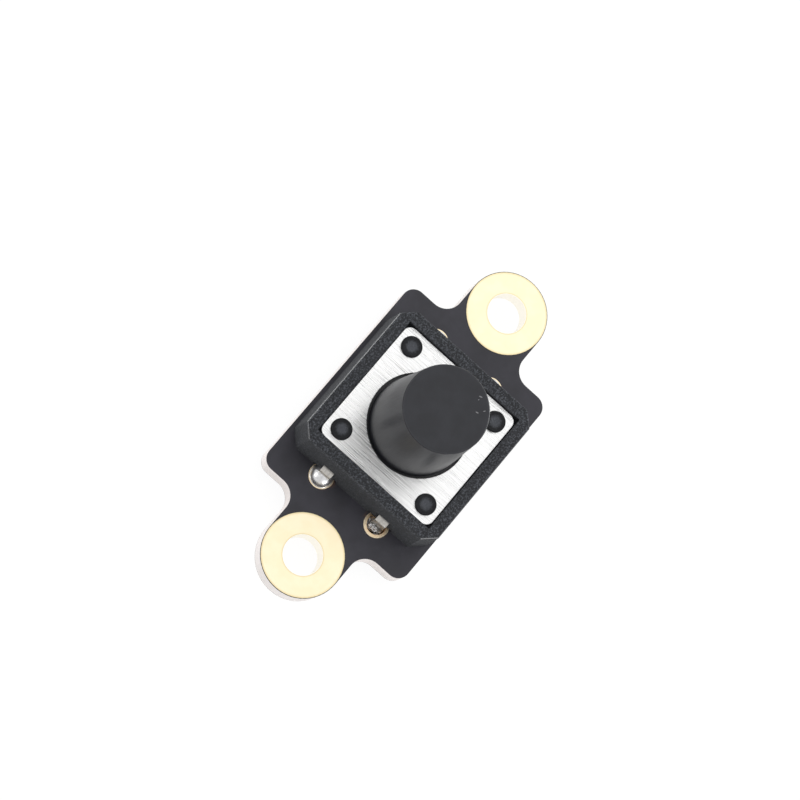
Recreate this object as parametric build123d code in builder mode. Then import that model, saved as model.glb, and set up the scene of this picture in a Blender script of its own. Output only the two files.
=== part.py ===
"""Momentary push button switch on a small circuit board with two plated screw lugs.

A square tactile switch is soldered to the middle of the board. Its two contact strips end in
four legs, which pass through plated holes in the board. Each lug is a round ear of the board
with a wide gold ring about a screw hole.

Millimetres. +X runs along the board from lug to lug, +Z is the way the button stands, and the
origin lies under the middle of the board, level with the tips of the legs it stands on.
"""

from build123d import *

import os
from math import sqrt

# Board
board_length = 16.5
board_width = 12.6
board_thickness = 1.6
board_corner_radius = 0.9
lug_spacing = 22.5
lug_radius = 2.95
neck_fillet = 1.3

# Plated copper on the board
plating = 0.05  # copper and gold together
pad_proud = 0.02  # how far a pad stands above the solder mask
lug_hole_radius = 1.4
ring_margin = 0.04  # mask left between the gold ring and the edge of the lug
pin_hole_radius = 0.7
pin_pad_radius = 0.92

# Legs and contact strips
leg_spacing = 12.5  # between the two rows of legs
leg_pitch = 5.0  # between the two legs of a row
leg_width = 0.9
strip_thickness = 0.3
strip_width = 1.3
strip_drop = 0.25  # plastic between the strips and the cavity floor
leg_tail = 1.5  # leg standing out under the board
leg_tip_length = 0.3
leg_tip_inset = 0.2
leg_bend_radius = 0.1  # inside of the bend
contact_radius = 0.45
centre_contact_radius = 0.6
centre_contact_rise = 0.1
leg_root = 0.8  # how far the bent leg's section reaches back into the strip

# Switch housing
body_width = 12.0  # at the board
body_height = 3.45
body_draft = 1.5  # degrees that the outer walls lean inwards
body_corner_chamfer = 0.95
rim_bevel = 0.08
recess_width = 10.0
floor_height = 1.65  # cavity floor above the board
cavity_radius = 4.3
post_pitch = 7.6
post_radius = 0.6
post_head_radius = 0.75
post_head_height = 0.18
post_head_round = 0.1
post_dimple = 0.07
solder_relief_height = 0.35
solder_relief_clearance = 0.12

# Cover plate
plate_thickness = 0.3
plate_gap = 0.06  # all round, to the rim
plate_corner_radius = 0.6
plate_hole_radius = 3.6
plate_edge_round = 0.04
post_clearance = 0.03
rim_rise = 0.3  # rim above the plate

# Button
button_height = 10.0  # top of the button above the board
button_gap = 0.2  # to the plate's hole, all round
button_top_radius = 3.0
button_edge_round = 0.08
flange_clearance = 0.2  # to the cavity wall
flange_thickness = 0.45
stop_clearance = 0.02  # flange under the plate, and nub over the dome
nub_radius = 0.75

# Snap dome
dome_radius = 3.5
dome_height = 0.55
dome_thickness = 0.1

# Solder
solder_cone_height = 1.1
solder_cone_margin = 0.06  # pad left bare round the cone
solder_tip_width = 0.12  # solder on the leg at the cone's tip
solder_dome_radius = 0.76
solder_dome_offset = 0.12  # outwards from the hole's axis
solder_climb = 0.3  # height of the small fillet on the other legs

# Levels
board_bottom = leg_tail
board_top = board_bottom + board_thickness
body_top = board_top + body_height
plate_top = body_top - rim_rise
plate_bottom = plate_top - plate_thickness
floor = board_top + floor_height
strip_top = floor - strip_drop
strip_bottom = strip_top - strip_thickness
dome_top = floor + dome_height
flange_top = plate_bottom - stop_clearance
flange_bottom = flange_top - flange_thickness
nub_bottom = dome_top + stop_clearance
button_top = board_top + button_height
head_top = plate_top + post_head_height
head_shoulder = head_top - post_head_round
pad_recess = plating - pad_proud
pad_top = board_top + pad_proud
pad_bottom = board_bottom - pad_proud

# Widths that follow from the ones above
plate_width = recess_width - 2 * plate_gap
ring_radius = lug_radius - ring_margin
flange_radius = cavity_radius - flange_clearance
button_plate_radius = plate_hole_radius - button_gap
head_flat = post_head_radius - post_head_round
leg_inner = (leg_spacing - strip_thickness) / 2
leg_outer = leg_inner + strip_thickness

lug_places = {"left": (-lug_spacing / 2, 0), "right": (lug_spacing / 2, 0)}
leg_places = {
    1: (-leg_spacing / 2, leg_pitch / 2),
    2: (-leg_spacing / 2, -leg_pitch / 2),
    3: (leg_spacing / 2, leg_pitch / 2),
    4: (leg_spacing / 2, -leg_pitch / 2),
}
post_places = [
    (x * post_pitch / 2, y * post_pitch / 2) for x in (-1, 1) for y in (-1, 1)
]
domed_joint = 1


def section_plane(x, y):
    """The upright plane through (x, y) in which a round piece's half section is drawn."""
    return Plane(origin=(x, y, 0), x_dir=(1, 0, 0), z_dir=(0, -1, 0))


def upright_axis(x, y):
    return Axis((x, y, 0), (0, 0, 1))


def circuit_board():
    """The laminate: a rectangle with a round ear at each end, drilled for lugs and legs."""
    with BuildPart() as board:
        with BuildSketch(Plane.XY.offset(board_bottom)) as outline:
            Rectangle(board_length, board_width)
            SlotCenterToCenter(lug_spacing, 2 * lug_radius)
            ends = outline.vertices().filter_by(lambda v: abs(abs(v.X) - board_length / 2) < 1e-3)
            rows = ends.group_by(Axis.Y)
            fillet(rows[0] + rows[-1], board_corner_radius)
            necks = outline.vertices().filter_by(
                lambda v: abs(abs(v.X) - board_length / 2) < 1e-3
                and abs(abs(v.Y) - lug_radius) < 1e-3
            )
            fillet(necks, neck_fillet)
        extrude(amount=board_thickness)
        drillings = [(place, lug_hole_radius, ring_radius) for place in lug_places.values()]
        drillings += [(place, pin_hole_radius, pin_pad_radius) for place in leg_places.values()]
        for (x, y), hole, pad in drillings:
            with Locations((x, y, board_top)):
                CounterBoreHole(hole + plating, pad, pad_recess)
            with Locations((x, y, board_bottom)):
                Cylinder(
                    pad,
                    pad_recess,
                    align=(Align.CENTER, Align.CENTER, Align.MIN),
                    mode=Mode.SUBTRACT,
                )
    return board


def plated_hole(x, y, hole_radius, pad_radius):
    """Copper spool lining a hole, with a flat pad on each face of the board."""
    barrel = hole_radius + plating
    with BuildPart() as spool:
        with BuildSketch(section_plane(x, y)):
            with BuildLine():
                Polyline(
                    (hole_radius, pad_bottom),
                    (pad_radius, pad_bottom),
                    (pad_radius, pad_bottom + plating),
                    (barrel, pad_bottom + plating),
                    (barrel, pad_top - plating),
                    (pad_radius, pad_top - plating),
                    (pad_radius, pad_top),
                    (hole_radius, pad_top),
                    close=True,
                )
            make_face()
        revolve(axis=upright_axis(x, y))
    return spool


def contact_strip(y, contacts, tongue):
    """A stamped strip along X at this y, its two ends bent down into legs.

    contacts holds (x, y, radius, rise above the cavity floor) for each raised contact, and
    tongue says whether the strip has an arm to the middle of the switch.
    """
    with BuildPart() as strip:
        with BuildSketch(Plane.XY.offset(strip_bottom)):
            with Locations((0, y)):
                Rectangle(2 * leg_inner - 2 * leg_root, strip_width)
            if tongue:
                with Locations((0, y / 2)):
                    Rectangle(strip_width, abs(y) + 2 * centre_contact_radius)
        extrude(amount=strip_thickness)
        for side in (-1, 1):
            with BuildSketch(section_plane(0, y)) as bent:
                with BuildLine():
                    Polyline(
                        (side * (leg_inner - leg_root - strip_thickness), strip_bottom),
                        (side * (leg_inner - leg_root - strip_thickness), strip_top),
                        (side * leg_outer, strip_top),
                        (side * leg_outer, 0),
                        (side * leg_inner, 0),
                        (side * leg_inner, strip_bottom),
                        close=True,
                    )
                make_face()
                corners = bent.vertices()
                outer = corners.group_by(Axis.Y)[-1].sort_by(Axis.X)[0 if side < 0 else -1]
                inner = corners.group_by(Axis.Y)[1].sort_by(Axis.X)[0 if side < 0 else -1]
                fillet(outer, leg_bend_radius + strip_thickness)
                fillet(inner, leg_bend_radius)
            extrude(amount=leg_width / 2, both=True)
        for end in (0, -1):
            tip = strip.faces().group_by(Axis.Z)[0].sort_by(Axis.X)[end]
            edges = tip.edges().filter_by(Axis.X)
            chamfer(edges, length=leg_tip_inset, length2=leg_tip_length, reference=tip)
        for cx, cy, radius, rise in contacts:
            with BuildSketch(Plane.XY.offset(strip_top)):
                with Locations((cx, cy)):
                    Circle(radius)
            extrude(amount=floor + rise - strip_top)
    return strip


def switch_housing(strips):
    """Moulded base: chamfered square body, raised rim, round cavity and four staked posts."""
    with BuildPart() as housing:
        with BuildSketch(Plane.XY.offset(board_top)) as outline:
            Rectangle(body_width, body_width)
            chamfer(outline.vertices(), body_corner_chamfer)
        extrude(amount=body_height, taper=body_draft)
        chamfer(housing.faces().sort_by(Axis.Z)[-1].edges(), rim_bevel)
        with BuildSketch(Plane.XY.offset(plate_bottom)):
            Rectangle(recess_width, recess_width)
        extrude(amount=body_top - plate_bottom, mode=Mode.SUBTRACT)
        with BuildSketch(Plane.XY.offset(floor)):
            Circle(cavity_radius)
        extrude(amount=plate_bottom - floor, mode=Mode.SUBTRACT)
        with BuildSketch(Plane.XY.offset(plate_bottom)):
            with GridLocations(post_pitch, post_pitch, 2, 2):
                Circle(post_radius)
        extrude(amount=plate_thickness)
        for x, y in post_places:
            with BuildSketch(section_plane(x, y)):
                with BuildLine():
                    Line((0, plate_top), (post_head_radius, plate_top))
                    Line((post_head_radius, plate_top), (post_head_radius, head_shoulder))
                    RadiusArc((post_head_radius, head_shoulder), (head_flat, head_top), -post_head_round)
                    Spline(
                        (head_flat, head_top),
                        (0, head_top - post_dimple),
                        tangents=((-1, 0), (-1, 0)),
                    )
                    Line((0, head_top - post_dimple), (0, plate_top))
                make_face()
            revolve(axis=upright_axis(x, y))
        for x, y in leg_places.values():
            side = 1 if x > 0 else -1
            depth = body_width / 2 - (leg_spacing / 2 - pin_pad_radius - solder_relief_clearance)
            with BuildSketch(Plane.XY.offset(board_top)):
                with Locations((side * (body_width / 2 - depth / 2), y)):
                    Rectangle(depth, 2 * (pin_pad_radius + solder_relief_clearance))
            extrude(amount=solder_relief_height, mode=Mode.SUBTRACT)
        for strip in strips:
            add(strip.part, mode=Mode.SUBTRACT)
    return housing


def cover_plate():
    """Sheet steel cover with a round hole for the button and a hole for each post."""
    with BuildPart() as plate:
        with BuildSketch(Plane.XY.offset(plate_bottom)):
            RectangleRounded(plate_width, plate_width, plate_corner_radius)
            Circle(plate_hole_radius, mode=Mode.SUBTRACT)
            with GridLocations(post_pitch, post_pitch, 2, 2):
                Circle(post_radius + post_clearance, mode=Mode.SUBTRACT)
        extrude(amount=plate_thickness)
        rims = plate.faces().sort_by(Axis.Z)[-1].edges()
        button_hole = rims.filter_by(GeomType.CIRCLE).sort_by(lambda e: e.radius)[-1]
        fillet(button_hole, plate_edge_round)
        fillet(plate.faces().sort_by(Axis.Z)[-1].outer_wire().edges(), plate_edge_round)
    return plate


def button():
    """Tapered round button on a flange that the cover plate holds down, with a nub below."""
    slope = (button_plate_radius - button_top_radius) / (button_top - plate_top)
    root_radius = button_plate_radius + slope * (plate_top - flange_top)
    with BuildPart() as plunger:
        with BuildSketch(section_plane(0, 0)) as half:
            with BuildLine():
                Polyline(
                    (0, nub_bottom),
                    (nub_radius, nub_bottom),
                    (nub_radius, flange_bottom),
                    (flange_radius, flange_bottom),
                    (flange_radius, flange_top),
                    (root_radius, flange_top),
                    (button_top_radius, button_top),
                    (0, button_top),
                    close=True,
                )
            make_face()
            edge = half.vertices().group_by(Axis.Y)[-1].sort_by(Axis.X)[-1]
            fillet(edge, button_edge_round)
        revolve(axis=Axis.Z)
    return plunger


def snap_dome():
    """Thin sprung disc, pressed as a shallow spherical cap, standing on the cavity floor."""
    sphere = (dome_radius**2 + dome_height**2) / (2 * dome_height)
    centre = dome_top - sphere
    inner = sphere - dome_thickness
    inner_rim = sqrt(inner**2 - (floor - centre) ** 2)

    def on_sphere(radius, r):
        return (r, centre + sqrt(radius**2 - r**2))

    with BuildPart() as dome:
        with BuildSketch(section_plane(0, 0)):
            with BuildLine():
                Line((inner_rim, floor), (dome_radius, floor))
                ThreePointArc(
                    (dome_radius, floor), on_sphere(sphere, dome_radius / 2), (0, dome_top)
                )
                Line((0, dome_top), (0, dome_top - dome_thickness))
                ThreePointArc(
                    (0, dome_top - dome_thickness),
                    on_sphere(inner, inner_rim / 2),
                    (inner_rim, floor),
                )
            make_face()
        revolve(axis=Axis.Z)
    return dome


def solder_joint(x, y, domed, cuts):
    """Solder filling a plated hole round its leg, with a cone below and a fillet above.

    A domed joint has a round drop of solder on top, outside the housing.
    """
    foot = pin_pad_radius - solder_cone_margin
    tip = leg_width / 2 + solder_tip_width
    cone_tip = pad_bottom - solder_cone_height
    with BuildPart() as joint:
        with BuildSketch(section_plane(x, y)):
            with BuildLine():
                Line((0, cone_tip), (tip, cone_tip))
                Spline(
                    (tip, cone_tip),
                    (foot, pad_bottom),
                    tangents=((0, 1), (1, 0.35)),
                )
                Polyline(
                    (foot, pad_bottom), (pin_hole_radius, pad_bottom), (pin_hole_radius, pad_top)
                )
                Line((pin_hole_radius, pad_top), (leg_width / 2, pad_top + solder_climb))
                Line((leg_width / 2, pad_top + solder_climb), (0, pad_top + solder_climb))
                Line((0, pad_top + solder_climb), (0, cone_tip))
            make_face()
        revolve(axis=upright_axis(x, y))
        if domed:
            outwards = solder_dome_offset if x > 0 else -solder_dome_offset
            with Locations((x + outwards, y, pad_top)):
                Sphere(
                    solder_dome_radius,
                    arc_size1=0,
                    align=(Align.CENTER, Align.CENTER, Align.MIN),
                )
        for cut in cuts:
            add(cut.part, mode=Mode.SUBTRACT)
    return joint


rim_contact_x = sqrt(dome_radius**2 - (leg_pitch / 2) ** 2)
outer_strip = contact_strip(
    leg_pitch / 2,
    [(side * rim_contact_x, leg_pitch / 2, contact_radius, 0) for side in (-1, 1)],
    tongue=False,
)
centre_strip = contact_strip(
    -leg_pitch / 2, [(0, 0, centre_contact_radius, centre_contact_rise)], tongue=True
)
housing = switch_housing((outer_strip, centre_strip))

pieces = {
    "circuit_board": circuit_board(),
    "outer_contact_strip": outer_strip,
    "centre_contact_strip": centre_strip,
    "switch_housing": housing,
    "cover_plate": cover_plate(),
    "button": button(),
    "snap_dome": snap_dome(),
}
for side, (x, y) in lug_places.items():
    pieces[f"lug_ring_{side}"] = plated_hole(x, y, lug_hole_radius, ring_radius)
for number, (x, y) in leg_places.items():
    strip = outer_strip if y > 0 else centre_strip
    pieces[f"pin_eyelet_{number}"] = plated_hole(x, y, pin_hole_radius, pin_pad_radius)
    pieces[f"solder_joint_{number}"] = solder_joint(
        x, y, number == domed_joint, (strip, housing)
    )

os.makedirs("parts", exist_ok=True)
for name, piece in pieces.items():
    piece.part.label = name
    export_step(piece.part, f"parts/{name}.step")
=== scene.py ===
"""Looks of a momentary push button switch soldered to a small black circuit board.

The solid pieces come packed, in metres. Here they get their finishes, and the things that are
too small or too irregular for them are added: the real shapes of the solder, the traces under the
solder mask, flux residue and dust.
"""

import math
from functools import reduce

import bmesh
import bpy
from bpy.props import FloatProperty, FloatVectorProperty, IntProperty, PointerProperty
from mathutils import Matrix, Vector, noise


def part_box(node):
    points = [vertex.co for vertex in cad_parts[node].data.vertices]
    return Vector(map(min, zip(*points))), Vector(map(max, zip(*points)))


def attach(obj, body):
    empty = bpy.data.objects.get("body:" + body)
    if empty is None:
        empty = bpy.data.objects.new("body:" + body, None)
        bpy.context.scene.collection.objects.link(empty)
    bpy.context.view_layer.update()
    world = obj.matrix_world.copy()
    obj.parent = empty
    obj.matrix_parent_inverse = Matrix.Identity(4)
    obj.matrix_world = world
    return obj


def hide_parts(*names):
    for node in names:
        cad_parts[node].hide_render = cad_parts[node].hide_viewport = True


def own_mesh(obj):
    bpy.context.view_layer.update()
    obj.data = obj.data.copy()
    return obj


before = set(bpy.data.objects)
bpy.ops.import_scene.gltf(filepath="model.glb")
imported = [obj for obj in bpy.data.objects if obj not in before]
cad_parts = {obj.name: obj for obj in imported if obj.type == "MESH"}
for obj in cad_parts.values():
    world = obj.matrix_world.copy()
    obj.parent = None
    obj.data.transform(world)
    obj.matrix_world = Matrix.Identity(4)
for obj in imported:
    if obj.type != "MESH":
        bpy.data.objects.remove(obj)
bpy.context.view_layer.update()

bl_info = {
    "name": "Tactile Switch Board",
    "version": (1, 0, 0),
    "blender": (4, 5, 0),
    "location": "View3D > Sidebar > Switch",
    "description": "Finishes and fine detail of a push button switch on a two-lug circuit board",
    "category": "Add Mesh",
}

MM = 0.001

BOARD_BOTTOM, BOARD_TOP = (corner.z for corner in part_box("circuit_board"))
PLATE_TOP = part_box("cover_plate")[1].z
HOUSING_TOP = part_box("switch_housing")[1].z
BUTTON_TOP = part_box("button")[1].z
PADS = [f"pin_eyelet_{number}" for number in range(1, 5)]
LUGS = ["lug_ring_left", "lug_ring_right"]

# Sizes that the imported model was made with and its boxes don't give
PIN_HOLE_RADIUS = 0.7 * MM
LUG_HOLE_RADIUS = 1.4 * MM
LEG_HALF_THICKNESS = 0.15 * MM
LEG_HALF_WIDTH = 0.45 * MM
POST_OFFSET = 3.8 * MM
POST_HEAD_RADIUS = 0.75 * MM
BUTTON_TOP_RADIUS = 3.0 * MM
RIM_BEVEL = 0.08 * MM

# The solder mask is a film of this thickness on the laminate
MASK_FILM = 0.035 * MM
MASK_SPECULAR = 0.42

# Each trace starts this far inside its lug's middle, runs beside the board's centre line up to
# the bend, and slants from there to the level of its pad
TRACE_START = 2.0 * MM
TRACE_LANE = 1.1 * MM
TRACE_BEND = 8.3 * MM
TRACE_SLANT = 0.9 * MM

# The solder stops this far short of its pad's edge
BARE_PAD_EDGE = 0.07 * MM

# The joint that is short of solder: how deep its plug lies, and the lump on the leg's outer face
PLUG_DEPTH = 0.55 * MM
LUMP_PLACE = (0.30 * MM, 0.10 * MM, -0.12 * MM)
LUMP_REACH = (0.26 * MM, 0.42 * MM)
LUMP_HEIGHT = 0.48 * MM
LUMP_CRUMBS = 0.55 * MM

# The smallest and largest specks of dust, as half lengths along their own axes in shares of the
# speck size, and the corners in plan of the patch they lie in, in millimetres
SPECK_SMALLEST = (0.16, 0.10, 0.03)
SPECK_LARGEST = (0.50, 0.18, 0.05)
DUST_PATCH = ((0.4, -2.3), (1.7, -2.2), (2.5, -0.9), (2.6, 0.0), (1.4, -0.9))

# The stage, in metres: half the floor's width, the distance of the lamps from the origin, and
# the place in plan that the camera looks at, on the board's top
FLOOR_HALF = 1.5
LAMP_DISTANCE = 0.5
AIM = (1.44 * MM, 1.77 * MM)

# The camera's sensor width, in millimetres
SENSOR_WIDTH = 36.0

# Name, azimuth and elevation in degrees, width in metres, and power as a share of the key's
LAMPS = (
    ("key", -5, 58, 0.60, 1.0),
    ("back", 73, 6, 0.12, 0.9),
    ("left", 126, 16, 0.12, 0.5),
    ("front", -119, 8, 0.12, 0.7),
    ("right", -50, 8, 0.12, 1.6),
)

WHITE = (1.0, 1.0, 1.0, 1.0)


def middle(node):
    """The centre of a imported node's box."""
    low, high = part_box(node)
    return (low + high) / 2


def towards(azimuth, elevation):
    """The unit vector that points this way, with both angles in radians."""
    level = math.cos(elevation)
    return Vector((level * math.cos(azimuth), level * math.sin(azimuth), math.sin(elevation)))


# --------------------------------------------------------------------------------------------
# Sizes and colours that a user may change


def colour(name, description, default):
    return FloatVectorProperty(
        name=name,
        description=description,
        default=default,
        size=3,
        min=0.0,
        max=1.0,
        subtype="COLOR",
    )


def length(name, description, default):
    return FloatProperty(
        name=name, description=description, default=default, subtype="DISTANCE", unit="LENGTH"
    )


def angle(name, description, default):
    return FloatProperty(
        name=name, description=description, default=default, subtype="ANGLE", unit="ROTATION"
    )


class BoardSettings(bpy.types.PropertyGroup):
    mask: colour("Solder mask", "Colour of the matt solder mask", (0.0320, 0.0310, 0.0400))
    laminate: colour("Laminate", "Colour of the board's cut edge", (0.97, 0.92, 0.90))
    gold: colour("Gold", "Colour of the plated rings and pads", (1.0, 0.87, 0.63))
    flux: colour("Flux", "Colour of the flux residue by the legs", (0.16, 0.075, 0.03))
    trace_width: length(
        "Trace width", "Width of the copper traces on the underside", 1.2 * MM
    )
    trace_height: length(
        "Trace height", "Height that a covered trace stands above the board", 0.035 * MM
    )


class SwitchSettings(bpy.types.PropertyGroup):
    plastic: colour("Housing", "Colour of the moulded housing", (0.0230, 0.0245, 0.0280))
    button: colour("Button", "Colour of the moulded button", (0.0180, 0.0190, 0.0240))
    steel: colour("Cover plate", "Colour of the brushed cover plate", (0.97, 0.97, 0.965))
    tin: colour("Legs", "Colour of the tinned legs", (0.55, 0.53, 0.50))
    grain: length("Grain", "Size of the housing's moulded grain", 0.125 * MM)


class SolderSettings(bpy.types.PropertyGroup):
    metal: colour("Solder", "Colour of the solder", (0.80, 0.80, 0.81))
    dome_radius: length(
        "Dome radius", "Radius of the round drop on the full joint", 0.79 * MM
    )
    cone_height: length(
        "Cone height", "Height of the solder on the legs under the board", 1.08 * MM
    )


class DustSettings(bpy.types.PropertyGroup):
    density: FloatProperty(
        name="Dust density",
        description="Specks for each square metre of the patch on the button's top",
        default=1.6e6,
        min=0.0,
    )
    size: length("Speck size", "The measure that the specks' lengths are shares of", 0.28 * MM)
    seed: IntProperty(name="Seed", description="Chooses where the specks lie", default=7)


class StageSettings(bpy.types.PropertyGroup):
    distance: length("Camera distance", "From the camera to the point it looks at", 0.2366)
    lens: FloatProperty(
        name="Lens",
        description="Focal length for a sensor 36 mm wide, in millimetres",
        default=156.0,
    )
    azimuth: angle(
        "Camera azimuth",
        "Where the camera stands, turned from +X towards +Y",
        math.radians(162.96),
    )
    elevation: angle(
        "Camera elevation", "Height of the camera above the horizon", math.radians(72.06)
    )
    roll: angle(
        "Camera roll", "Turn of the camera about its own line of sight", math.radians(58.17)
    )
    floor: colour("Floor", "Colour of the floor", (0.82, 0.82, 0.82))
    key: FloatProperty(
        name="Key lamp",
        description="Power of the large lamp over the right lug, which the others follow",
        default=0.65,
        unit="POWER",
    )
    sky: FloatProperty(
        name="Surround",
        description="Strength of the soft light from all round",
        default=0.70,
    )


SETTINGS = {
    "switch_board": BoardSettings,
    "switch_parts": SwitchSettings,
    "switch_solder": SolderSettings,
    "switch_dust": DustSettings,
    "switch_stage": StageSettings,
}


# --------------------------------------------------------------------------------------------
# Shader nodes written as expressions


class Value:
    """An output socket of a shader node, which takes part in arithmetic."""

    def __init__(self, finish, socket):
        self.finish = finish
        self.socket = socket

    def math(self, operation, *values):
        return self.finish.node("ShaderNodeMath", {"operation": operation}, values)

    def __add__(self, other):
        return self.math("ADD", self, other)

    def __radd__(self, other):
        return self.math("ADD", other, self)

    def __sub__(self, other):
        return self.math("SUBTRACT", self, other)

    def __rsub__(self, other):
        return self.math("SUBTRACT", other, self)

    def __mul__(self, other):
        return self.math("MULTIPLY", self, other)

    def __rmul__(self, other):
        return self.math("MULTIPLY", other, self)

    def __truediv__(self, other):
        return self.math("DIVIDE", self, other)

    def __rtruediv__(self, other):
        return self.math("DIVIDE", other, self)

    def __pow__(self, other):
        return self.math("POWER", self, other)

    def __abs__(self):
        return self.math("ABSOLUTE", self)

    def larger(self, other):
        return self.math("MAXIMUM", self, other)


class Finish:
    """A material under construction: one Principled shader and the nodes that feed it."""

    def __init__(self, name, metallic=0.0, specular=0.5, roughness=0.5):
        self.material = bpy.data.materials.new(name)
        self.material.use_nodes = True
        self.tree = self.material.node_tree
        self.tree.nodes.clear()
        self.shader = self.tree.nodes.new("ShaderNodeBsdfPrincipled")
        self.output = self.tree.nodes.new("ShaderNodeOutputMaterial")
        self.tree.links.new(self.shader.outputs["BSDF"], self.output.inputs["Surface"])
        self.to("Metallic", metallic)
        self.to("Specular IOR Level", specular)
        self.to("Roughness", roughness)
        self.place = self.node("ShaderNodeTexCoord", out="Object")
        self.x = self.node("ShaderNodeSeparateXYZ", {}, [self.place])
        self.y = self.beside(self.x, "Y")
        self.z = self.beside(self.x, "Z")

    def node(self, kind, settings=None, values=(), out=0):
        """Adds a node, makes its settings, and sets or links its sockets."""
        made = self.tree.nodes.new(kind)
        for key, value in (settings or {}).items():
            if key == "stops":
                self.set_stops(made.color_ramp, value)
            else:
                setattr(made, key, value)
        pairs = values.items() if isinstance(values, dict) else enumerate(values)
        for key, value in pairs:
            self.feed(made.inputs[key], value)
        return Value(self, made.outputs[out])

    def beside(self, value, out):
        """Another output of the node that a value comes from."""
        return Value(self, value.socket.node.outputs[out])

    def set_stops(self, ramp, stops):
        while len(ramp.elements) < len(stops):
            ramp.elements.new(0.5)
        for element, (position, level) in zip(ramp.elements, stops):
            element.position = position
            element.color = (level, level, level, 1.0)

    def feed(self, socket, value):
        if isinstance(value, Value):
            self.tree.links.new(value.socket, socket)
        elif socket.type == "RGBA":
            socket.default_value = (*value, 1.0)
        else:
            socket.default_value = value

    def to(self, socket, value):
        """Feeds one of the shader's own sockets."""
        self.feed(self.shader.inputs[socket], value)

    def mix(self, amount, first, second):
        """A colour between first, at 0, and second, at 1."""
        values = {"Factor": amount, 6: first, 7: second}
        return self.node("ShaderNodeMix", {"data_type": "RGBA"}, values, out=2)

    def ramp(self, value, *stops):
        return self.node("ShaderNodeValToRGB", {"stops": stops}, [value])

    def step(self, value, low, high):
        """0 below low and 1 above high, smooth between them."""
        settings = {"interpolation_type": "SMOOTHSTEP"}
        values = {"Value": value, "From Min": low, "From Max": high}
        return self.node("ShaderNodeMapRange", settings, values)

    def stretched(self, size):
        """Object coordinates in units of a size, or of one size along each axis."""
        sizes = size if isinstance(size, tuple) else (size,) * 3
        scale = [1.0 / size for size in sizes]
        return self.node("ShaderNodeMapping", {}, {"Vector": self.place, "Scale": scale})

    def noise(self, size, detail=3.0, rough=0.55):
        """Noise whose features have this size, or one size along each axis."""
        values = {"Vector": self.stretched(size), "Scale": 1.0, "Detail": detail}
        values["Roughness"] = rough
        return self.node("ShaderNodeTexNoise", {}, values)

    def cells(self, size, feature="F1"):
        """Distance to the middle of the nearest of many cells of this size."""
        values = {"Vector": self.stretched(size), "Scale": 1.0}
        return self.node("ShaderNodeTexVoronoi", {"feature": feature}, values, out="Distance")

    def distance_to(self, x, y):
        """Distance in plan from the upright line through x, y."""
        across = self.x - x
        along = self.y - y
        return (across * across + along * along) ** 0.5

    def away_from(self, node):
        """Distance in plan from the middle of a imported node."""
        centre = middle(node)
        return self.distance_to(centre.x, centre.y)

    def bump(self, height, depth, strength=1.0, under=None):
        """A normal bent by a height from 0 to 1 that stands for this depth in metres."""
        values = {"Strength": strength, "Distance": depth, "Height": height}
        if under:
            values["Normal"] = under
        return self.node("ShaderNodeBump", {}, values)


# --------------------------------------------------------------------------------------------
# Meshes


def link_piece(name, mesh, finish, body):
    """Makes a mesh a piece of the object, riding a body, with its finish."""
    piece = bpy.data.objects.new(name, mesh)
    bpy.context.scene.collection.objects.link(piece)
    if not mesh.materials:
        mesh.materials.append(finish.material)
    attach(piece, body)
    return piece


def coat(node, finish):
    """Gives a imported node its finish."""
    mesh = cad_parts[node].data
    mesh.materials.clear()
    mesh.materials.append(finish.material)


def mesh_from(name, build):
    """A mesh with outward faces and smooth shading from a function that fills a bmesh."""
    form = bmesh.new()
    build(form)
    bmesh.ops.recalc_face_normals(form, faces=form.faces)
    for face in form.faces:
        face.smooth = True
    mesh = bpy.data.meshes.new(name)
    form.to_mesh(mesh)
    form.free()
    return mesh


def add_mound(form, centre, radius, height, direction, rings=22, spokes=56):
    """A closed mound on a round foot; height gives its rise at a place in plan."""

    def corner(x, y, rise):
        return form.verts.new(centre + Vector((x, y, direction * rise)))

    base = corner(0.0, 0.0, 0.0)
    crown = corner(0.0, 0.0, height(0.0, 0.0))
    low_rows, high_rows = [], []
    for ring in range(1, rings + 1):
        reach = radius * ring / rings
        low_row, high_row = [], []
        for spoke in range(spokes):
            turn = math.tau * spoke / spokes
            x, y = reach * math.cos(turn), reach * math.sin(turn)
            foot = corner(x, y, 0.0)
            low_row.append(foot)
            high_row.append(corner(x, y, height(x, y)) if ring < rings else foot)
        low_rows.append(low_row)
        high_rows.append(high_row)
    for hub, rows in ((base, low_rows), (crown, high_rows)):
        for spoke in range(spokes):
            after = (spoke + 1) % spokes
            form.faces.new((hub, rows[0][spoke], rows[0][after]))
            for inner, outer in zip(rows, rows[1:]):
                form.faces.new((inner[spoke], outer[spoke], outer[after], inner[after]))


def wetting(x, y, radius, rise, curve):
    """Height of solder that climbs from a pad's edge to the faces of its leg."""
    out_x = max(abs(x) - LEG_HALF_THICKNESS, 0.0)
    out_y = max(abs(y) - LEG_HALF_WIDTH, 0.0)
    to_leg = math.hypot(out_x, out_y)
    to_edge = max(radius - math.hypot(x, y), 0.0)
    if to_leg + to_edge == 0.0:
        return 0.0
    return rise * (to_edge / (to_leg + to_edge)) ** curve


# --------------------------------------------------------------------------------------------
# Finishes


def tinted(colour, *factors):
    """A colour with its channels multiplied by one factor, or by one factor each."""
    each = factors * 3 if len(factors) == 1 else factors
    return [channel * factor for channel, factor in zip(colour, each)]


def union(masks):
    """One mask of all the places that several masks cover."""
    return reduce(Value.larger, masks)


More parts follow.
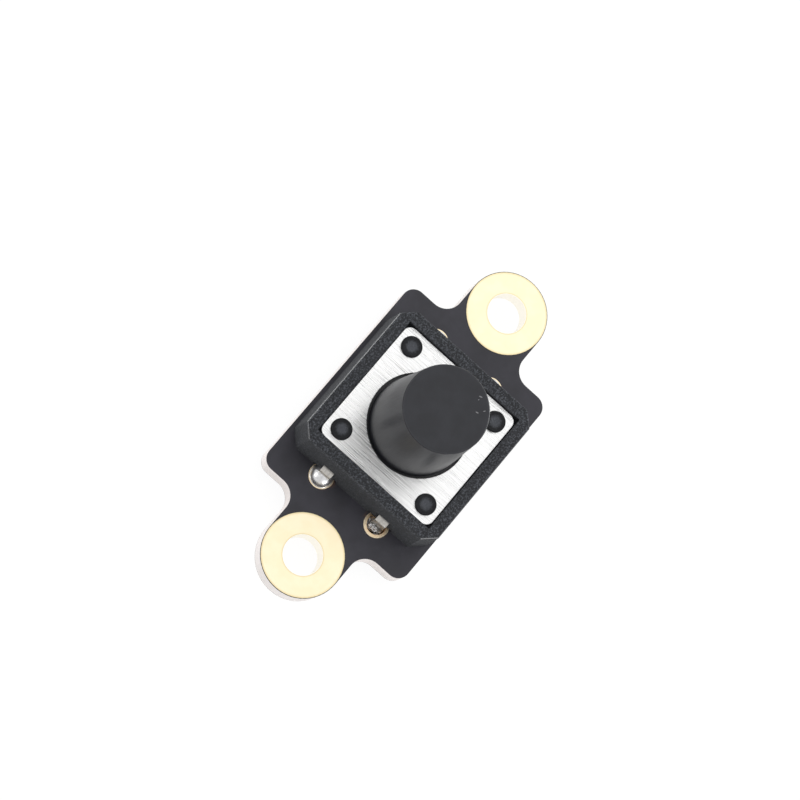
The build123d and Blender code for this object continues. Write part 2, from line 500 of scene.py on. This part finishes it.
def solder_mask_finish(look):
    """Matt black mask over pale laminate, which shows where the board was cut."""
    finish = Finish("solder_mask", specular=MASK_SPECULAR)
    above = finish.step(finish.z, BOARD_TOP - MASK_FILM * 1.3, BOARD_TOP - MASK_FILM)
    under = 1 - finish.step(finish.z, BOARD_BOTTOM + MASK_FILM, BOARD_BOTTOM + MASK_FILM * 1.3)
    skin = above.larger(under)
    plies = finish.noise((1.5 * MM, 1.5 * MM, 0.07 * MM), detail=2.0)
    fibres = finish.noise((0.12 * MM, 0.12 * MM, 0.05 * MM), detail=2.0)
    shade = finish.ramp(plies * 0.6 + fibres * 0.4, (0.3, 0.0), (0.7, 1.0))
    edge = finish.mix(shade, tinted(look.laminate, 0.88), look.laminate)
    clouds = finish.noise(3.2 * MM, detail=4.0)
    cloudy = finish.step(clouds, 0.35, 0.65)
    mask = finish.mix(cloudy, tinted(look.mask, 0.82), tinted(look.mask, 1.25))
    stain = flux_stain(finish)
    mask = finish.mix(stain * 0.55, mask, look.flux)
    finish.to("Base Color", finish.mix(skin, edge, mask))
    rough = 0.46 + clouds * 0.12 - stain * 0.2
    finish.to("Roughness", skin * rough + (1 - skin) * 0.8)
    peel = finish.bump(finish.noise(0.28 * MM, detail=2.0), 0.004 * MM, 0.6)
    finish.to("Normal", finish.bump(fibres * (1 - skin), 0.02 * MM, under=peel))
    return finish


def flux_stain(finish):
    """Blotches of flux residue round each leg, on its side towards the housing."""
    rings = []
    for pad in PADS:
        spot = middle(pad)
        inner = spot.x - math.copysign(0.18 * MM, spot.x)
        rings.append(1 - finish.step(finish.distance_to(inner, spot.y), 0.82 * MM, 1.25 * MM))
    return union(rings) * finish.step(finish.noise(0.5 * MM, detail=2.0), 0.46, 0.62)


def covered_copper_finish(look):
    """Copper under the black mask: a touch paler and smoother than the bare board."""
    finish = Finish("covered_copper", specular=MASK_SPECULAR)
    clouds = finish.noise(0.9 * MM, detail=3.0)
    finish.to("Base Color", finish.mix(clouds, look.mask, tinted(look.mask, 1.6)))
    finish.to("Roughness", 0.40 + clouds * 0.14)
    finish.to("Normal", finish.bump(finish.noise(0.25 * MM), 0.004 * MM, 0.6))
    return finish


def gold_finish(look):
    """Satin gold, a little cloudy, with heated pads and faint scratches; the rims are painted
    darker, with tarnish at the rings' outer edges and painted shade round the holes, and the hole
    linings are painted paler as a painted highlight.
    """
    finish = Finish("immersion_gold", metallic=1.0)
    clouds = finish.noise(1.1 * MM, detail=4.0)
    grain = finish.noise(0.05 * MM, detail=2.0)
    warm = tinted(look.gold, 0.985, 0.97, 0.94)
    tone = finish.mix(finish.step(clouds, 0.38, 0.66), warm, look.gold)
    baked = union(
        1 - finish.step(finish.away_from(pad), 0.70 * MM, 1.0 * MM) for pad in PADS[:2]
    )
    toasted = tinted(look.gold, 0.96, 0.74, 0.62)
    patches = finish.step(finish.noise(0.5 * MM, detail=2.0), 0.36, 0.60)
    tone = finish.mix(baked * (0.35 + patches * 0.5), tone, toasted)
    rim, lining = lug_masks(finish)
    # Painted highlight: the hole linings are painted paler than the gold, standing in for the
    # light inside the bores.
    painted_bore_light = (1.0, 0.96, 0.86)
    tone = finish.mix(lining, tone, painted_bore_light)
    # The rims are painted darker: tarnish along each ring's outer edge, and painted shade on the
    # rounded edge of each hole.
    tarnish_and_shade = tinted(look.gold, 0.78, 0.78, 0.55)
    finish.to("Base Color", finish.mix(rim * 0.55, tone, tarnish_and_shade))
    finish.to("Roughness", 0.30 + grain * 0.14 + rim * 0.12)
    fine = finish.bump(grain, 0.003 * MM, 0.7)
    scratches = finish.noise((0.9 * MM, 0.03 * MM, 1.0 * MM), detail=1.0)
    marks = finish.step(scratches, 0.66, 0.72)
    finish.to("Normal", finish.bump(marks, 0.0015 * MM, 0.5, under=fine))
    return finish


def lug_masks(finish):
    """Masks of the inner and outer rims of the lugs' rings, and of the holes' linings."""
    hole = LUG_HOLE_RADIUS + 0.01 * MM
    rims, linings = [], []
    for lug in LUGS:
        low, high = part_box(lug)
        outer = (high.x - low.x) / 2
        away = finish.away_from(lug)
        near_edge = finish.step(away, outer - 0.16 * MM, outer - 0.01 * MM)
        inside = 1 - finish.step(away, outer, outer + 0.05 * MM)
        past_hole = finish.step(away, hole, hole + 0.01 * MM)
        # The band round each hole's edge is painted shade on its rounded edge, not tarnish.
        near_hole = past_hole * (1 - finish.step(away, hole + 0.02 * MM, hole + 0.12 * MM))
        rims.append((near_edge * inside).larger(near_hole))
        linings.append(1 - past_hole)
    return union(rims), union(linings)


def solder_finish(look, name, matt):
    """Tin solder: bright and smooth with matt at 0, frosted and pitted with matt at 1."""
    finish = Finish(name, metallic=1.0)
    frost = finish.noise(0.16 * MM, detail=4.0)
    crystals = finish.cells(0.07 * MM)
    bright = tinted(look.metal, 1.15)
    dull = tinted(look.metal, 0.98 - 0.40 * matt)
    tone = finish.step(frost, 0.36, 0.66)
    finish.to("Base Color", finish.mix(tone, dull, bright))
    finish.to("Roughness", (0.31 + 0.03 * matt) + tone * (0.06 + 0.16 * matt))
    swirl = finish.bump(frost, (0.001 + 0.033 * matt) * MM)
    finish.to("Normal", finish.bump(crystals, (0.001 + 0.008 * matt) * MM, under=swirl))
    return finish


def tin_finish(look):
    """Tinned legs, drawn along their length and scuffed by the bending tool."""
    finish = Finish("tinned_leg", metallic=1.0)
    drawn = finish.noise((0.6 * MM, 0.035 * MM, 0.6 * MM), detail=2.0)
    blotches = finish.noise(0.22 * MM, detail=3.0)
    bright = [min(channel, 1.0) for channel in tinted(look.tin, 1.3)]
    tone = finish.step(drawn * 0.55 + blotches * 0.45, 0.38, 0.62)
    finish.to("Base Color", finish.mix(tone, look.tin, bright))
    finish.to("Roughness", 0.26 + blotches * 0.22)
    finish.to("Normal", finish.bump(drawn, 0.008 * MM))
    return finish


def housing_finish(look):
    """Black moulding with a coarse eroded grain, melted post heads and a polished bevel; the
    walls are painted darker than the rim's top as painted shade.
    """
    finish = Finish("grained_plastic", specular=0.4)
    coarse = finish.noise(look.grain, detail=3.0, rough=0.62)
    fine = finish.noise(look.grain * 0.35, detail=2.0)
    pits = finish.cells(look.grain * 0.8, feature="SMOOTH_F1")
    grain = coarse * 0.55 + fine * 0.2 + pits * 0.25
    flecks = finish.step(grain, 0.44, 0.60)
    # Painted shade: below the rim's top the walls get fewer pale flecks, so they are painted
    # darker than the top.
    rim_top_painted_lighter = finish.step(finish.z, HOUSING_TOP - 0.5 * MM, HOUSING_TOP - 0.1 * MM)
    pale = tinted(look.plastic, 4.6)
    tone = finish.mix(flecks * (0.38 + 0.47 * rim_top_painted_lighter), look.plastic, pale)
    on_head, core = post_head_masks(finish, coarse)
    head = finish.mix(core, tinted(look.plastic, 0.6), tinted(look.plastic, 3.6))
    finish.to("Base Color", finish.mix(on_head, tone, head))
    bevel = bevel_mask(finish)
    grained = 1 - bevel
    finish.to("Roughness", grained * (0.76 + grain * 0.22) + bevel * 0.30)
    deep = finish.bump(grain * grained, 0.12 * MM)
    finish.to("Normal", finish.bump(fine * grained, 0.006 * MM, 0.8, under=deep))
    return finish


def post_head_masks(finish, coarse):
    """Masks of the four post heads, and of the uneven pale patch in the middle of each."""
    across = abs(finish.x) - POST_OFFSET
    along = abs(finish.y) - POST_OFFSET
    away = (across * across + along * along) ** 0.5
    on_head = finish.step(finish.z, PLATE_TOP, PLATE_TOP + 0.02 * MM)
    on_head = on_head * (1 - finish.step(away, POST_HEAD_RADIUS, POST_HEAD_RADIUS * 1.05))
    core = 1 - finish.step(away + (coarse - 0.5) * 0.3 * MM, 0.22 * MM, 0.55 * MM)
    return on_head, core


def bevel_mask(finish):
    """A mask of the bevel on the housing's rim, except along the +X wall."""
    start = HOUSING_TOP - RIM_BEVEL
    bevel = finish.step(finish.z, start - 0.03 * MM, start)
    bevel = bevel * (1 - finish.step(finish.z, HOUSING_TOP - 0.02 * MM, HOUSING_TOP - 0.005 * MM))
    return bevel * (1 - finish.step(finish.x, 4.9 * MM, 5.3 * MM))


def plate_finish(look):
    """Bright steel sheet, brushed along Y."""
    finish = Finish("brushed_plate", metallic=1.0)
    long_lines = finish.noise((0.09 * MM, 9.0 * MM, 1.0 * MM), detail=3.0, rough=0.7)
    short_lines = finish.noise((0.06 * MM, 2.4 * MM, 1.0 * MM), detail=2.0)
    lines = long_lines * 0.6 + short_lines * 0.4
    clouds = finish.noise((2.4 * MM, 3.2 * MM, 1.0 * MM), detail=3.0)
    polish = finish.step(lines, 0.38, 0.60)
    finish.to("Base Color", finish.mix(polish, tinted(look.steel, 0.86), look.steel))
    finish.to("Roughness", 0.15 + lines * 0.22 + clouds * 0.06)
    finish.to("Normal", finish.bump(lines, 0.052 * MM))
    return finish


def button_finish(look):
    """Black moulding: matt top with a worn edge, satin side with faint lines from the mould; the
    side is painted darker than the top as painted shade.
    """
    finish = Finish("button_plastic", specular=0.5)
    on_top = finish.step(finish.z, BUTTON_TOP - 0.006 * MM, BUTTON_TOP - 0.001 * MM)
    side = 1 - on_top
    speckle = finish.noise(0.06 * MM, detail=2.0)
    clouds = finish.noise(1.6 * MM, detail=3.0)
    draw = finish.noise((0.10 * MM, 0.10 * MM, 4.0 * MM), detail=2.0)
    tone = finish.step(clouds * 0.7 + speckle * 0.3, 0.36, 0.64)
    base = finish.mix(tone, tinted(look.button, 0.86), tinted(look.button, 1.22))
    # Painted shade: the side takes a darker tone than the top.
    base = finish.mix(on_top, tinted(look.button, 0.72), base)
    away = finish.distance_to(0.0, 0.0)
    worn = finish.step(away, BUTTON_TOP_RADIUS - 0.15 * MM, BUTTON_TOP_RADIUS - 0.02 * MM)
    rubbed = tinted(look.button, 3.0)
    finish.to("Base Color", finish.mix(worn * on_top * 0.4, base, rubbed))
    finish.to("Roughness", on_top * (0.60 + speckle * 0.1) + side * (0.34 + draw * 0.08))
    fine = finish.bump(speckle, 0.004 * MM, 0.6)
    finish.to("Normal", finish.bump(draw * side, 0.0015 * MM, 0.6, under=fine))
    return finish


def dome_finish():
    """Polished spring steel, lightly lapped in rings."""
    finish = Finish("spring_steel", metallic=1.0)
    phase = finish.distance_to(0.0, 0.0) / (0.05 * MM)
    rings = phase.math("SINE", phase)
    haze = finish.noise(0.7 * MM, detail=3.0)
    finish.to("Base Color", finish.mix(haze, (0.62, 0.62, 0.64), (0.78, 0.78, 0.79)))
    finish.to("Roughness", 0.18 + haze * 0.16)
    finish.to("Normal", finish.bump(rings * 0.5 + 0.5, 0.001 * MM, 0.6))
    return finish


def dust_finish():
    """Pale lint."""
    finish = Finish("lint", roughness=0.9)
    tone = finish.noise(0.04 * MM, detail=2.0)
    finish.to("Base Color", finish.mix(tone, (0.13, 0.13, 0.14), (0.28, 0.28, 0.29)))
    return finish


def floor_finish(look):
    """Pale floor that keeps the object's shadow and shows near white in what reflects it."""
    finish = Finish("pale_floor", roughness=0.9)
    finish.to("Base Color", look.floor)
    direct = finish.node("ShaderNodeLightPath", out="Is Camera Ray")
    glossy = finish.beside(direct, "Is Glossy Ray")
    through = finish.beside(direct, "Is Transmission Ray")
    seen = union((direct, glossy, through))
    lit = Value(finish, finish.shader.outputs["BSDF"])
    white = finish.node("ShaderNodeEmission", {}, {"Strength": 1.08})
    blend = finish.node("ShaderNodeMixShader", {}, [seen * 0.85, lit, white])
    finish.feed(finish.output.inputs["Surface"], blend)
    return finish


# --------------------------------------------------------------------------------------------
# Geometry Nodes


class Recipe:
    """A Geometry Nodes tree under construction, with named inputs and one mesh output."""

    def __init__(self, name, **inputs):
        self.tree = bpy.data.node_groups.new(name, "GeometryNodeTree")
        self.sockets = {}
        self.tree.interface.new_socket(
            name="Geometry", in_out="INPUT", socket_type="NodeSocketGeometry"
        )
        for label, (kind, value) in inputs.items():
            socket = self.tree.interface.new_socket(
                name=label.replace("_", " ").capitalize(),
                in_out="INPUT",
                socket_type=f"NodeSocket{kind}",
            )
            socket.default_value = value
            self.sockets[label] = socket
        self.tree.interface.new_socket(
            name="Geometry", in_out="OUTPUT", socket_type="NodeSocketGeometry"
        )
        self.inputs = self.tree.nodes.new("NodeGroupInput").outputs

    def input(self, label):
        return self.inputs[self.sockets[label].name]

    def node(self, kind, settings=None, values=None):
        made = self.tree.nodes.new(kind)
        for key, value in (settings or {}).items():
            setattr(made, key, value)
        for key, value in (values or {}).items():
            if isinstance(value, bpy.types.NodeSocket):
                self.tree.links.new(value, made.inputs[key])
            else:
                made.inputs[key].default_value = value
        return made.outputs

    def finished(self, geometry, material):
        """Ends the tree with real geometry in one material."""
        real = self.node("GeometryNodeRealizeInstances", values={"Geometry": geometry})
        coated = self.node(
            "GeometryNodeSetMaterial", values={"Geometry": real[0], "Material": material}
        )
        output = self.tree.nodes.new("NodeGroupOutput")
        self.tree.links.new(coated[0], output.inputs["Geometry"])

    def cook(self, name, source, **values):
        """The plain mesh that the tree makes of a source object, which is then removed."""
        modifier = source.modifiers.new("recipe", "NODES")
        modifier.node_group = self.tree
        for label, value in values.items():
            modifier[self.sockets[label].identifier] = value
        graph = bpy.context.evaluated_depsgraph_get()
        mesh = bpy.data.meshes.new_from_object(source.evaluated_get(graph))
        mesh.name = name
        source.modifiers.clear()
        bpy.data.objects.remove(source)
        return mesh


def temporary(name, data):
    """An object in the scene, for the floor or as the source of a recipe."""
    source = bpy.data.objects.new(name, data)
    bpy.context.scene.collection.objects.link(source)
    return source


def path_curve(name, paths):
    """A curve object with one poly spline for each path of points."""
    curve = bpy.data.curves.new(name, "CURVE")
    curve.dimensions = "3D"
    for path in paths:
        spline = curve.splines.new("POLY")
        spline.points.add(len(path) - 1)
        for point, place in zip(spline.points, path):
            point.co = (*place, 1.0)
    return temporary(name, curve)


# --------------------------------------------------------------------------------------------
# Operators


class Piece(bpy.types.Operator):
    """What every operator here has in common."""

    bl_options = {"REGISTER", "UNDO"}

    def execute(self, context):
        self.make(context.scene)
        return {"FINISHED"}


class SWITCH_OT_stage(Piece):
    """Set the floor, lamps, surround and camera"""

    bl_idname = "switch.stage"
    bl_label = "Stage"

    def make(self, scene):
        look = scene.switch_stage
        self.set_floor(look)
        self.set_surround(scene, look)
        self.set_lamps(scene, look)
        self.set_camera(scene, look)
        scene.view_settings.view_transform = "Standard"

    def set_floor(self, look):
        half = FLOOR_HALF
        corners = [(-half, -half, 0), (half, -half, 0), (half, half, 0), (-half, half, 0)]
        mesh = bpy.data.meshes.new("floor")
        mesh.from_pydata(corners, [], [(0, 1, 2, 3)])
        mesh.materials.append(floor_finish(look).material)
        temporary("floor", mesh)

    def set_surround(self, scene, look):
        """Soft light from all round, which the camera sees as plain white."""
        scene.world = bpy.data.worlds.new("surround")
        scene.world.use_nodes = True
        nodes, links = scene.world.node_tree.nodes, scene.world.node_tree.links
        nodes.clear()
        rays = nodes.new("ShaderNodeLightPath")
        light, backdrop = (nodes.new("ShaderNodeBackground") for _ in range(2))
        for background in (light, backdrop):
            background.inputs["Color"].default_value = WHITE
        light.inputs["Strength"].default_value = look.sky
        choose = nodes.new("ShaderNodeMixShader")
        output = nodes.new("ShaderNodeOutputWorld")
        links.new(rays.outputs["Is Camera Ray"], choose.inputs[0])
        links.new(light.outputs[0], choose.inputs[1])
        links.new(backdrop.outputs[0], choose.inputs[2])
        links.new(choose.outputs[0], output.inputs["Surface"])

    def set_lamps(self, scene, look):
        for name, azimuth, elevation, size, share in LAMPS:
            lamp = bpy.data.lights.new(name, "AREA")
            lamp.energy = look.key * share
            lamp.size = size
            place = bpy.data.objects.new(name, lamp)
            scene.collection.objects.link(place)
            away = towards(math.radians(azimuth), math.radians(elevation)) * LAMP_DISTANCE
            place.location = away
            place.rotation_euler = (-away).to_track_quat("-Z", "Y").to_euler()

    def set_camera(self, scene, look):
        lens = bpy.data.cameras.new("camera")
        lens.sensor_width = SENSOR_WIDTH
        lens.lens = look.lens
        lens.clip_start = 0.01
        camera = bpy.data.objects.new("camera", lens)
        scene.collection.objects.link(camera)
        away = towards(look.azimuth, look.elevation)
        place = Vector((*AIM, BOARD_TOP)) + away * look.distance
        facing = (-away).to_track_quat("-Z", "Y").to_matrix().to_4x4()
        roll = Matrix.Rotation(look.roll, 4, "Z")
        camera.matrix_world = Matrix.Translation(place) @ facing @ roll
        scene.camera = camera


class SWITCH_OT_board(Piece):
    """Finish the board and its plated rings and pads"""

    bl_idname = "switch.board"
    bl_label = "Board"

    def make(self, scene):
        look = scene.switch_board
        coat("circuit_board", solder_mask_finish(look))
        gold = gold_finish(look)
        for node in LUGS + PADS:
            coat(node, gold)


class SWITCH_OT_traces(Piece):
    """Lay the traces that join the legs to the lugs, under the board"""

    bl_idname = "switch.traces"
    bl_label = "Traces"

    def make(self, scene):
        look = scene.switch_board
        finish = covered_copper_finish(look)
        recipe = Recipe(
            "trace_recipe",
            width=("Float", look.trace_width),
            height=("Float", look.trace_height),
        )
        profile = recipe.node(
            "GeometryNodeCurvePrimitiveQuadrilateral",
            values={
                "Width": recipe.input("width"),
                "Height": recipe.input("height"),
            },
        )
        swept = recipe.node(
            "GeometryNodeCurveToMesh",
            values={
                "Curve": recipe.inputs["Geometry"],
                "Profile Curve": profile[0],
                "Fill Caps": True,
            },
        )
        flat = recipe.node(
            "GeometryNodeSetShadeSmooth", values={"Geometry": swept[0], "Shade Smooth": False}
        )
        recipe.finished(flat[0], finish.material)
        source = path_curve("trace_paths", self.paths())
        mesh = recipe.cook("underside_traces", source)
        link_piece("underside_traces", mesh, finish, "board")

    def paths(self):
        """From each lug's hub to the middle of the two pads beside it."""
        routes = []
        for side, lug in zip((-1, 1), LUGS):
            hub = middle(lug)
            bend = TRACE_BEND * side
            for pad in map(middle, PADS):
                if pad.x * side < 0:
                    continue
                lane = math.copysign(TRACE_LANE, pad.y)
                plan = (
                    (hub.x - side * TRACE_START, lane),
                    (bend, lane),
                    (bend - side * TRACE_SLANT, pad.y),
                    (pad.x, pad.y),
                )
                routes.append([(x, y, BOARD_BOTTOM) for x, y in plan])
        return routes


class SWITCH_OT_solder(Piece):
    """Shape the solder on each leg, above and below the board"""

    bl_idname = "switch.solder"
    bl_label = "Solder"

    def make(self, scene):
        look = scene.switch_solder
        bright = solder_finish(look, "bright_solder", 0.0)
        frosted = solder_finish(look, "frosted_solder", 1.0)
        self.joint(1, look, bright, self.domed(look))
        self.joint(2, look, frosted, self.starved)
        self.joint(3, look, bright, self.climbing)
        self.joint(4, look, bright, self.climbing)

    def joint(self, number, look, finish, top):
        """One leg's solder; top adds the part above the board."""
        low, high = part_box(f"pin_eyelet_{number}")
        centre = (low + high) / 2
        outwards = math.copysign(1.0, centre.x)
        foot = (high.x - low.x) / 2 - BARE_PAD_EDGE
        above = Vector((centre.x, centre.y, high.z))
        below = Vector((centre.x, centre.y, low.z))

        def cone(x, y):
            lump = noise.noise(Vector((x, y, number * MM)) * 1800.0)
            return wetting(x, y, foot, look.cone_height, 2.3) * (1 + 0.05 * lump)

        def build(form):
            top(form, above, foot, outwards)
            add_mound(form, below, foot, cone, -1.0, rings=28)

        mesh = mesh_from(f"solder_{number}", build)
        piece = link_piece(f"solder_{number}", mesh, finish, "board")
        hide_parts(f"solder_joint_{number}")

    def domed(self, look):
        """A full joint with a round drop of solder standing outside the leg."""

        def top(form, above, foot, outwards):
            lean = 0.03 * MM * outwards

            def height(x, y):
                fillet = wetting(x, y, foot, 0.30 * MM, 1.6)
                inside = look.dome_radius**2 - (x - lean) ** 2 - y**2
                drop = 1.08 * math.sqrt(inside) if inside > 0 else 0.0
                return (fillet**4 + drop**4) ** 0.25

            add_mound(form, above, foot, height, 1.0, rings=34, spokes=80)

        return top

    def climbing(self, form, above, foot, outwards):
        """A plain joint whose solder climbs the leg a little."""
        add_mound(form, above, foot, lambda x, y: wetting(x, y, foot, 0.32 * MM, 1.7), 1.0)

    def starved(self, form, above, foot, outwards):
        """A joint short of solder: a plug low in the hole, and lumps on the leg's outer face."""

        def plug(x, y):
            lumps = noise.noise(Vector((x, y, 0)) * 5200.0)
            lean = 0.5 + 0.5 * (x * outwards) / PIN_HOLE_RADIUS
            side = 0.5 + 0.5 * y / PIN_HOLE_RADIUS
            return (0.18 + 0.34 * lean * side + 0.16 * lumps) * MM

        def ridge(x, y):
            reach = 1.0 - math.hypot(x / LUMP_REACH[0], y / LUMP_REACH[1])
            crumbs = noise.noise(Vector((x + 1, y, 0)) * 9000.0)
            return max(reach, 0.0) ** 0.6 * (LUMP_HEIGHT + LUMP_CRUMBS * crumbs)

        sunk = above - Vector((0, 0, PLUG_DEPTH))
        add_mound(form, sunk, PIN_HOLE_RADIUS * 0.99, plug, 1.0, rings=24)
        x, y, z = LUMP_PLACE
        lump = above + Vector((outwards * x, y, z))
        add_mound(form, lump, LUMP_REACH[1], ridge, 1.0, rings=26, spokes=64)


class SWITCH_OT_legs(Piece):
    """Finish the two contact strips and their legs"""

    bl_idname = "switch.legs"
    bl_label = "Legs"

    def make(self, scene):
        finish = tin_finish(scene.switch_parts)
        coat("outer_contact_strip", finish)
        coat("centre_contact_strip", finish)


class SWITCH_OT_housing(Piece):
    """Finish the moulded housing"""

    bl_idname = "switch.housing"
    bl_label = "Housing"

    def make(self, scene):
        coat("switch_housing", housing_finish(scene.switch_parts))


class SWITCH_OT_plate(Piece):
    """Finish the cover plate"""

    bl_idname = "switch.plate"
    bl_label = "Cover plate"

    def make(self, scene):
        coat("cover_plate", plate_finish(scene.switch_parts))


class SWITCH_OT_dome(Piece):
    """Make the snap dome as a fixed copy of the imported one; the real dome flattens as the
    button goes down
    """

    bl_idname = "switch.dome"
    bl_label = "Snap dome"

    def make(self, scene):
        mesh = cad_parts["snap_dome"].data.copy()
        mesh.name = "sprung_dome"
        mesh.materials.clear()
        piece = link_piece("sprung_dome", mesh, dome_finish(), "board")
        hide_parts("snap_dome")
        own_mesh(piece)


class SWITCH_OT_button(Piece):
    """Finish the button"""

    bl_idname = "switch.button"
    bl_label = "Button"

    def make(self, scene):
        coat("button", button_finish(scene.switch_parts))


class SWITCH_OT_dust(Piece):
    """Scatter a few specks of lint on the button's top"""

    bl_idname = "switch.dust"
    bl_label = "Dust"

    def make(self, scene):
        look = scene.switch_dust
        finish = dust_finish()
        recipe = Recipe(
            "dust_recipe",
            density=("Float", look.density),
            size=("Float", look.size),
            seed=("Int", look.seed),
        )
        points = recipe.node(
            "GeometryNodeDistributePointsOnFaces",
            values={
                "Mesh": recipe.inputs["Geometry"],
                "Density": recipe.input("density"),
                "Seed": recipe.input("seed"),
            },
        )
        speck = recipe.node(
            "GeometryNodeMeshIcoSphere",
            values={"Radius": recipe.input("size"), "Subdivisions": 2},
        )
        sizes = recipe.node(
            "FunctionNodeRandomValue",
            {"data_type": "FLOAT_VECTOR"},
            {"Min": SPECK_SMALLEST, "Max": SPECK_LARGEST, "Seed": 3},
        )
        turns = recipe.node(
            "FunctionNodeRandomValue",
            {"data_type": "FLOAT_VECTOR"},
            {"Min": (0.0, 0.0, 0.0), "Max": (0.0, 0.0, math.pi), "Seed": 5},
        )
        placed = recipe.node(
            "GeometryNodeInstanceOnPoints",
            values={
                "Points": points["Points"],
                "Instance": speck["Mesh"],
                "Rotation": turns["Value"],
                "Scale": sizes["Value"],
            },
        )
        recipe.finished(placed["Instances"], finish.material)
        mesh = recipe.cook("dust_specks", temporary("dust_field", self.patch()))
        link_piece("dust_specks", mesh, finish, "button")

    def patch(self):
        """The patch of the button's top where dust has settled."""
        rim = [(x * MM, y * MM, BUTTON_TOP) for x, y in DUST_PATCH]
        mesh = bpy.data.meshes.new("dust_field")
        mesh.from_pydata(rim, [], [list(range(len(rim)))])
        return mesh


class SWITCH_PT_sidebar(bpy.types.Panel):
    """Lists the pieces and their settings"""

    bl_idname = "SWITCH_PT_sidebar"
    bl_label = "Tactile Switch Board"
    bl_space_type = "VIEW_3D"
    bl_region_type = "UI"
    bl_category = "Switch"

    def draw(self, context):
        for group, settings in SETTINGS.items():
            box = self.layout.box()
            for name in settings.__annotations__:
                box.prop(getattr(context.scene, group), name)
        for operator in OPERATORS:
            self.layout.operator(operator.bl_idname)


OPERATORS = (
    SWITCH_OT_stage,
    SWITCH_OT_board,
    SWITCH_OT_traces,
    SWITCH_OT_solder,
    SWITCH_OT_legs,
    SWITCH_OT_housing,
    SWITCH_OT_plate,
    SWITCH_OT_dome,
    SWITCH_OT_button,
    SWITCH_OT_dust,
)


def register():
    for settings in SETTINGS.values():
        bpy.utils.register_class(settings)
    for name, settings in SETTINGS.items():
        setattr(bpy.types.Scene, name, PointerProperty(type=settings))
    for operator in OPERATORS:
        bpy.utils.register_class(operator)
    bpy.utils.register_class(SWITCH_PT_sidebar)


def unregister():
    bpy.utils.unregister_class(SWITCH_PT_sidebar)
    for operator in reversed(OPERATORS):
        bpy.utils.unregister_class(operator)
    for name, settings in SETTINGS.items():
        delattr(bpy.types.Scene, name)
        bpy.utils.unregister_class(settings)


def main():
    register()
    for operator in OPERATORS:
        group, name = operator.bl_idname.split(".")
        getattr(getattr(bpy.ops, group), name)()


if __name__ == "__main__":
    main()
